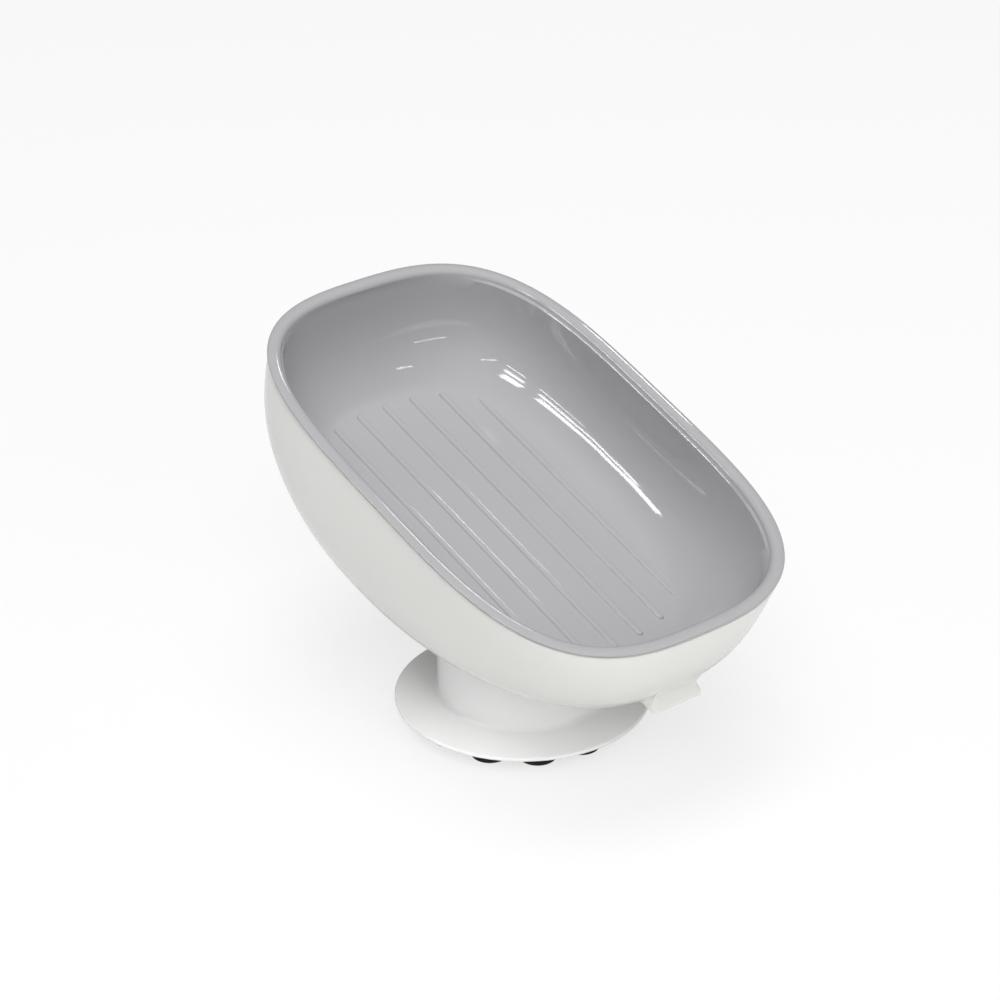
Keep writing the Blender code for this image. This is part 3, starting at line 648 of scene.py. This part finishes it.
grey_plastic = moulded_plastic(
    "grey_moulded_plastic", TRAY_GREY, TRAY_GREY_SHADE, roughness=0.045, ripple=0.12
)
tray = skin_object("tray_shell", [tray_rings()], dish_place, grey_plastic)
slots = [slot_rings(i) for i in range(SLOT_COUNT)]
cut(tray, [skin_object("slots", slots, dish_place, grey_plastic)])
ribs = [rib_rings(i) for i in range(RIB_COUNT)]
tray_ribs = skin_object("tray_ribs", ribs, dish_place, grey_plastic, RIB_SHARP_ANGLE)
for piece in (tray, tray_ribs):
    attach(piece, "tray")
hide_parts("inner_tray")

# Pedestal
# White moulded foot: a thin round flange and a straight hollow neck that ends
# against the bowl. A web inside it carries the bowl's screws.

FLANGE_RADIUS = 30.0 * MM
FLANGE_UNDERSIDE = 3.9 * MM
FLANGE_EDGE_TOP = 4.9 * MM
FLANGE_ROUND = 0.45 * MM
FLANGE_ROUND_START = 84
FLANGE_NECK_TOP = 6.1 * MM
NECK_RADIUS = 20.0 * MM
NECK_WALL = 2.0 * MM
NECK_FILLET = 1.3 * MM
NECK_FILLET_END = 265
NECK_FILLET_STEPS = 8
NECK_TOP = 42.0 * MM
NECK_STEPS = 160
WEB_UNDERSIDE = 14.3 * MM
WEB_TOP = 16.5 * MM
PLATE_RADIUS = 25.2 * MM
PLATE_TOP = 4.1 * MM
RECESS_TOP = PLATE_TOP + FIT_GAP
PLATE_SCREW_CIRCLE = 13.0 * MM
PLATE_BOSS_RADIUS = 2.9 * MM
PLATE_BOSS_TOP = 15.3 * MM
PLATE_PILOT_TOP = 11.1 * MM
AXIS = 0.02 * MM
FOOT_WHITE = (0.900, 0.905, 0.895)
FOOT_WHITE_SHADE = (0.885, 0.890, 0.880)


def pedestal_rings():
    """The foot's skin, from the web's top over the neck and flange to its underside."""
    inside = NECK_RADIUS - NECK_WALL
    recess_radius = PLATE_RADIUS + FIT_GAP
    edge = FLANGE_RADIUS - FLANGE_ROUND
    fillet_centre = (NECK_RADIUS + NECK_FILLET, FLANGE_NECK_TOP + NECK_FILLET)
    upper_centre = (edge, FLANGE_EDGE_TOP - FLANGE_ROUND)
    lower_centre = (edge, FLANGE_UNDERSIDE + FLANGE_ROUND)
    profile = [(AXIS, WEB_TOP), (inside, WEB_TOP), (inside, NECK_TOP)]
    profile.append((NECK_RADIUS, NECK_TOP))
    profile += arc(fillet_centre, NECK_FILLET, 180, NECK_FILLET_END, NECK_FILLET_STEPS)
    profile += arc(upper_centre, FLANGE_ROUND, FLANGE_ROUND_START, 0, CORNER_STEPS)
    profile += arc(lower_centre, FLANGE_ROUND, 0, -90, CORNER_STEPS)
    profile += [(recess_radius, FLANGE_UNDERSIDE), (recess_radius, RECESS_TOP)]
    profile += [(inside, RECESS_TOP), (inside, WEB_UNDERSIDE), (AXIS, WEB_UNDERSIDE)]
    return turned_rings(profile, NECK_STEPS)


foot_plastic = moulded_plastic(
    "foot_moulded_plastic", FOOT_WHITE, FOOT_WHITE_SHADE, roughness=0.10, ripple=0.3
)
pedestal = skin_object("pedestal_shell", [pedestal_rings()], foot_place, foot_plastic)
seat_mouth = rim_oval(BOWL_HALF_LENGTH + FIT_GAP, BOWL_HALF_WIDTH + FIT_GAP, rim_turns)
seat_rings = [at_height(seat_mouth, OVERRUN)] + bowl_levels(FIT_GAP)
plate_screw_spots = places_on_circle(PLATE_SCREW_CIRCLE, SCREW_COUNT, -FRONT)
plate_bosses = posts(PLATE_BOSS_RADIUS, RECESS_TOP, PLATE_BOSS_TOP, plate_screw_spots)
plate_pilots = posts(PILOT_RADIUS, RECESS_TOP - OVERRUN, PLATE_PILOT_TOP, plate_screw_spots)
web_holes = posts(
    PILOT_RADIUS, WEB_UNDERSIDE - OVERRUN, WEB_TOP + OVERRUN, bowl_screw_spots
)
cut(pedestal, [skin_object("bosses", plate_bosses, foot_place, foot_plastic)], "UNION")
taken = [
    skin_object("seat", [seat_rings], dish_place, foot_plastic),
    skin_object("pilots", plate_pilots, foot_place, foot_plastic),
    skin_object("web_holes", web_holes, foot_place, foot_plastic),
]
cut(pedestal, taken)
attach(pedestal, "dish")
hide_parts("pedestal")

# Base plate
# Flat disc of the foot's plastic that closes the pedestal's underside and holds the
# suction pad. Three screws fix it, and its solid from the frame is kept as it is.

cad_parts["base_plate"].material_slots[0].material = foot_plastic

# Suction pad
# Soft black rubber disc with a centre cup and two rings of small cups, which go flat
# as the dish is pressed down. Three plugs on its back hold it to the base plate.

PLATE_UNDERSIDE = 2.9 * MM
PAD_RADIUS = 25.8 * MM
PAD_UNDERSIDE = 1.7 * MM
PAD_TOP = PLATE_UNDERSIDE - FIT_GAP
PAD_EDGE_ROUND = 0.3 * MM
PAD_EDGE_STEPS = 5
PAD_STEPS = 128
CUP_RINGS = 2
CUP_RING_STEP = 10.6 * MM
CUPS_IN_FIRST_RING = 6
CUP_ROOT_HEIGHT = 2.1 * MM
CUP_HOLLOW_HEIGHT = 1.0 * MM
# Radius and height in millimetres, down the cup's side, round its lip and up its hollow
CUP_SIDE = ((3.6, 2.1), (3.6, 1.5), (3.8, 1.1), (4.3, 0.62))
CUP_LIP = ((4.35, 0.28), (4.4, 0.12), (4.34, 0.0))
CUP_HOLLOW = ((4.2, 0.0), (3.6, 0.4), (2.8, 0.75), (1.6, 0.95))
PLUG_COUNT = 3
PLUG_CIRCLE = 9.0 * MM
PLUG_TOP = 5.6 * MM
PLUG_CROWN = ((1.4, 5.5), (2.3, 5.15), (3.0, 4.6))
PLUG_HEAD = 3.0 * MM
PLUG_SHANK = 2.0 * MM
PLUG_FOOT_GAP = 0.05 * MM
SMALL_TURN_STEPS = 40
RUBBER_IOR = 1.45
RUBBER_BLACK = (0.012, 0.012, 0.014)
RUBBER_DUST = (0.03, 0.03, 0.032)
RUBBER_ROUGHNESS = 0.42
RUBBER_DUST_ROUGHNESS = 0.15
RUBBER_DUST_SCALE = 260.0
RUBBER_GRAIN_SCALE = 2500.0
RUBBER_GRAIN_DEPTH = 0.03 * MM


def rubber_material():
    """Dull black rubber with a little dust and a fine grain."""
    material, shader = new_material("black_rubber_moulded", IOR=RUBBER_IOR)
    dust = noise(RUBBER_DUST_SCALE, detail=4.0, roughness=0.6)
    grain = noise(RUBBER_GRAIN_SCALE, detail=3.0)
    tone = dust.spread(0.45, 0.8).tint(RUBBER_BLACK, RUBBER_DUST)
    Signal.feed(shader.inputs["Base Color"], tone)
    Signal.feed(shader.inputs["Roughness"], RUBBER_ROUGHNESS + RUBBER_DUST_ROUGHNESS * dust)
    Signal.feed(shader.inputs["Normal"], bump(grain, 0.25, RUBBER_GRAIN_DEPTH))
    return material


def in_millimetres(points):
    return [(radius * MM, height * MM) for radius, height in points]


def pad_sets():
    """Ring sets of the disc and its cups."""
    edge = PAD_RADIUS - PAD_EDGE_ROUND
    upper_centre = (edge, PAD_TOP - PAD_EDGE_ROUND)
    lower_centre = (edge, PAD_UNDERSIDE + PAD_EDGE_ROUND)
    disc = [(AXIS, PAD_TOP)] + arc(upper_centre, PAD_EDGE_ROUND, 90, 0, PAD_EDGE_STEPS)
    disc += arc(lower_centre, PAD_EDGE_ROUND, 0, -90, PAD_EDGE_STEPS)
    disc.append((AXIS, PAD_UNDERSIDE))
    cup = [(AXIS, CUP_ROOT_HEIGHT)] + in_millimetres(CUP_SIDE + CUP_LIP + CUP_HOLLOW)
    cup.append((AXIS, CUP_HOLLOW_HEIGHT))
    spots = [(0, 0)]
    for ring in range(1, CUP_RINGS + 1):
        spots += places_on_circle(ring * CUP_RING_STEP, ring * CUPS_IN_FIRST_RING, FRONT)
    return [turned_rings(disc, PAD_STEPS)] + turned_copies(cup, spots, SMALL_TURN_STEPS)


def plug_sets():
    """Ring sets of the plugs, from the disc's back up through the base plate."""
    foot = PAD_TOP + PLUG_FOOT_GAP
    profile = [(AXIS, PLUG_TOP)] + in_millimetres(PLUG_CROWN)
    profile += [(PLUG_HEAD, RECESS_TOP), (PLUG_SHANK, RECESS_TOP)]
    profile += [(PLUG_SHANK, foot), (AXIS, foot)]
    spots = places_on_circle(PLUG_CIRCLE, PLUG_COUNT, FRONT)
    return turned_copies(profile, spots, SMALL_TURN_STEPS)


black_rubber = rubber_material()
pad = skin_object("suction_pad_moulded", pad_sets(), foot_place, black_rubber)
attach(pad, "suction_pad")
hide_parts("suction_pad")
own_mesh(pad)
# The plugs ride with the plate, so that they keep their length while the pad goes flat.
plugs = skin_object("suction_pad_plugs", plug_sets(), foot_place, black_rubber)
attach(plugs, "dish")

# Screws
# Plain steel screws with a cross drive. Their solids from the frame have the right
# form, and the material gives their shafts a fine thread.

STEEL_DARK = (0.50, 0.50, 0.49)
STEEL_BRIGHT = (0.62, 0.62, 0.61)
STEEL_ROUGHNESS = 0.22
STEEL_GRAIN_ROUGHNESS = 0.15
STEEL_GRAIN_SCALE = 1200.0
THREAD_PITCH = 0.8 * MM
THREAD_DEPTH = 0.15 * MM


def steel_material():
    """Bright steel with a fine grain and the ridges of a thread along Z."""
    material, shader = new_material("bright_steel", Metallic=1.0)
    grain = noise(STEEL_GRAIN_SCALE, detail=3.0, roughness=0.6)
    height = Signal.node("ShaderNodeSeparateXYZ", {0: place()}, output="Z")
    thread = (height * (2 * math.pi / THREAD_PITCH)).math("SINE")
    Signal.feed(shader.inputs["Base Color"], grain.tint(STEEL_DARK, STEEL_BRIGHT))
    Signal.feed(shader.inputs["Roughness"], STEEL_ROUGHNESS + STEEL_GRAIN_ROUGHNESS * grain)
    Signal.feed(shader.inputs["Normal"], bump(thread, 0.8, THREAD_DEPTH))
    return material


bright_steel = steel_material()
for name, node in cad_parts.items():
    if "screw" in name:
        node.material_slots[0].material = bright_steel

# Floor and light
# A white seamless floor under a pale dome, with broad softboxes that light the dish. A
# barred window on its left and a few small panes show only as streaks in the gloss.

FLOOR_HALF = 3.0
FLOOR_DROP = 0.2 * MM
FLOOR_COLOUR = 0.8
FLOOR_SEEN = 0.20
FLOOR_GLOW = 0.73
DOME_STRENGTH = 0.18
DOME_TINT = (0.97, 0.98, 1.0)
DOME_SEEN = 0.99
# Name, turn and rise in degrees, and power in watts
SOFTBOXES = (
    ("front_left", -40, 45, 27),
    ("overhead", 0, 88, 22),
    ("front", 0, 22, 10),
    ("left", -90, 68, 12),
    ("right", 50, 12, 4),
)
SOFTBOX_DISTANCE = 2.2
SOFTBOX_SIZE = 1.1
WINDOW_DISTANCE = 2.0
WINDOW_TURN = math.radians(-110)
WINDOW_RISE = math.radians(32)
WINDOW_GLOW = 14.0
# The window's own plane, in millimetres: the bent line that its bars follow, each
# bar's offset from it, half its breadth and its start, and where the panes end
WINDOW_LINE = ((-430, 95), (-190, -10), (-40, 150), (160, 280), (440, 425), (1270, 800))
WINDOW_BARS = ((0, 95, -430), (-185, 50, -267), (-360, 18, -196))
WINDOW_NEAR_PANE_END = 440
WINDOW_FAR_PANE = (720, 1190)
WINDOW_SPREAD = 2000
WINDOW_SLANT = 0.4
WINDOW_BAR_STEPS = 12
# The (turn, rise) of each small pane's two ends and half its height, in degrees
GLINTS = (
    ((-22, 17.2), (5, 17.2), 0.4),
    ((14, 38), (26, 34), 0.4),
    ((-50, 38.5), (-65, 32.5), 0.4),
    ((112.5, 39.5), (118, 39.5), 3.0),
)


def grey(level):
    return (level, level, level)


def seen_or_not(seen_colour, other_colour):
    """One colour for the camera and another for the light that bounces."""
    camera_share = Signal.node("ShaderNodeLightPath", output="Is Camera Ray")
    return camera_share.tint(other_colour, seen_colour)


def floor_material():
    """White to the camera, with part of its light its own to keep the shadow soft."""
    material, shader = new_material("floor", Roughness=0.8)
    colour = seen_or_not(grey(FLOOR_SEEN), grey(FLOOR_COLOUR))
    Signal.feed(shader.inputs["Base Color"], colour)
    Signal.feed(shader.inputs["Emission Color"], seen_or_not(grey(FLOOR_GLOW), grey(0)))
    shader.inputs["Emission Strength"].default_value = 1.0
    return material


def add_floor():
    bm = bmesh.new()
    sides = ((-1, -1), (1, -1), (1, 1), (-1, 1))
    bm.faces.new([bm.verts.new((x * FLOOR_HALF, y * FLOOR_HALF, 0)) for x, y in sides])
    place_under = Matrix.Translation((0, 0, -FLOOR_DROP))
    finish_mesh(bm, "floor", place_under, floor_material())


def set_dome():
    world = bpy.data.worlds.new("studio")
    world.use_nodes = True
    Signal.tree = world.node_tree
    background = world.node_tree.nodes["Background"]
    background.inputs["Strength"].default_value = DOME_STRENGTH
    colour = seen_or_not(grey(DOME_SEEN / DOME_STRENGTH), DOME_TINT)
    Signal.feed(background.inputs["Color"], colour)
    bpy.context.scene.world = world


def glow_material():
    material, shader = new_material("window_glow", Roughness=1.0)
    shader.inputs["Emission Color"].default_value = (*grey(1.0), 1.0)
    shader.inputs["Emission Strength"].default_value = WINDOW_GLOW
    return material


def direction(turn, rise):
    """Outward from the dish: turn 0 looks to the low end, and rise is upward."""
    level = math.cos(rise)
    return Vector((math.sin(turn) * level, -math.cos(turn) * level, math.sin(rise)))


def add_panes(name, quads, material):
    """Glowing panes that show in the gloss but don't light the dull surfaces."""
    bm = bmesh.new()
    for quad in quads:
        bm.faces.new([bm.verts.new(corner) for corner in quad])
    panes = finish_mesh(bm, name, foot_place, material)
    panes.visible_diffuse = False
    panes.visible_shadow = False


def on_line(u):
    """The height at u on the bent line that the window's bars follow."""
    for (u_a, v_a), (u_b, v_b) in zip(WINDOW_LINE, WINDOW_LINE[1:]):
        if u <= u_b:
            return v_a + (v_b - v_a) * (u - u_a) / (u_b - u_a)


def bar_quads(offset, half, first, last):
    """A bright bar of the window, in a plane that faces the dish from afar."""
    middle = direction(WINDOW_TURN, WINDOW_RISE)
    along = Vector((math.cos(WINDOW_TURN), math.sin(WINDOW_TURN), 0))
    upward = middle.cross(along)
    rows = []
    for step in range(WINDOW_BAR_STEPS + 1):
        u = first + (last - first) * step / WINDOW_BAR_STEPS
        spread = 1 + u / WINDOW_SPREAD
        row = []
        for edge in (-half * spread, half * spread):
            v = on_line(u) + offset * spread + edge
            shift = along * (u + WINDOW_SLANT * edge) + upward * v
            row.append(middle * WINDOW_DISTANCE + shift * MM)
        rows.append(row)
    return [(a[0], b[0], b[1], a[1]) for a, b in zip(rows, rows[1:])]


def window_quads():
    quads = []
    for offset, half, start in WINDOW_BARS:
        for first, last in ((start, WINDOW_NEAR_PANE_END), WINDOW_FAR_PANE):
            quads += bar_quads(offset, half, first, last)
    return quads


def glint_quads():
    quads = []
    for first, last, half in GLINTS:
        quad = []
        for (turn, rise), edge in ((first, -half), (last, -half), (last, half), (first, half)):
            outward = direction(math.radians(turn), math.radians(rise + edge))
            quad.append(outward * WINDOW_DISTANCE)
        quads.append(quad)
    return quads


def add_softbox(name, turn, rise, power):
    """A square light that doesn't show in the gloss."""
    data = bpy.data.lights.new(name, "AREA")
    data.size = SOFTBOX_SIZE
    data.energy = power
    outward = direction(math.radians(turn), math.radians(rise))
    light = bpy.data.objects.new(name, data)
    light.location = outward * SOFTBOX_DISTANCE
    light.rotation_euler = (-outward).to_track_quat("-Z", "Y").to_euler()
    light.visible_glossy = False
    bpy.context.scene.collection.objects.link(light)


add_floor()
set_dome()
glow = glow_material()
add_panes("window", window_quads(), glow)
add_panes("glints", glint_quads(), glow)
for softbox in SOFTBOXES:
    add_softbox(*softbox)

# Camera
# A long lens above the dish's low left side. Its place, lens and shift were fitted
# to the outlines of the dish in the photograph.

CAMERA_TURN = math.radians(-39.31)
CAMERA_RISE = math.radians(28.65)
CAMERA_DISTANCE = 706 * MM
CAMERA_AIM = Vector((0, FOOT_Y, 40 * MM))
CAMERA_LENS = 110.93
CAMERA_SENSOR = 36
CAMERA_SHIFT = (-0.0226, 0.0588)
CAMERA_NEAR = 10 * MM


def add_camera():
    back = direction(CAMERA_TURN, CAMERA_RISE)
    data = bpy.data.cameras.new("camera")
    data.sensor_width = CAMERA_SENSOR
    data.lens = CAMERA_LENS
    data.shift_x, data.shift_y = CAMERA_SHIFT
    data.clip_start = CAMERA_NEAR
    camera = bpy.data.objects.new("camera", data)
    camera.location = CAMERA_AIM + back * CAMERA_DISTANCE
    camera.rotation_euler = (-back).to_track_quat("-Z", "Y").to_euler()
    bpy.context.scene.collection.objects.link(camera)
    bpy.context.scene.camera = camera


add_camera()
bpy.context.scene.view_settings.view_transform = "Standard"
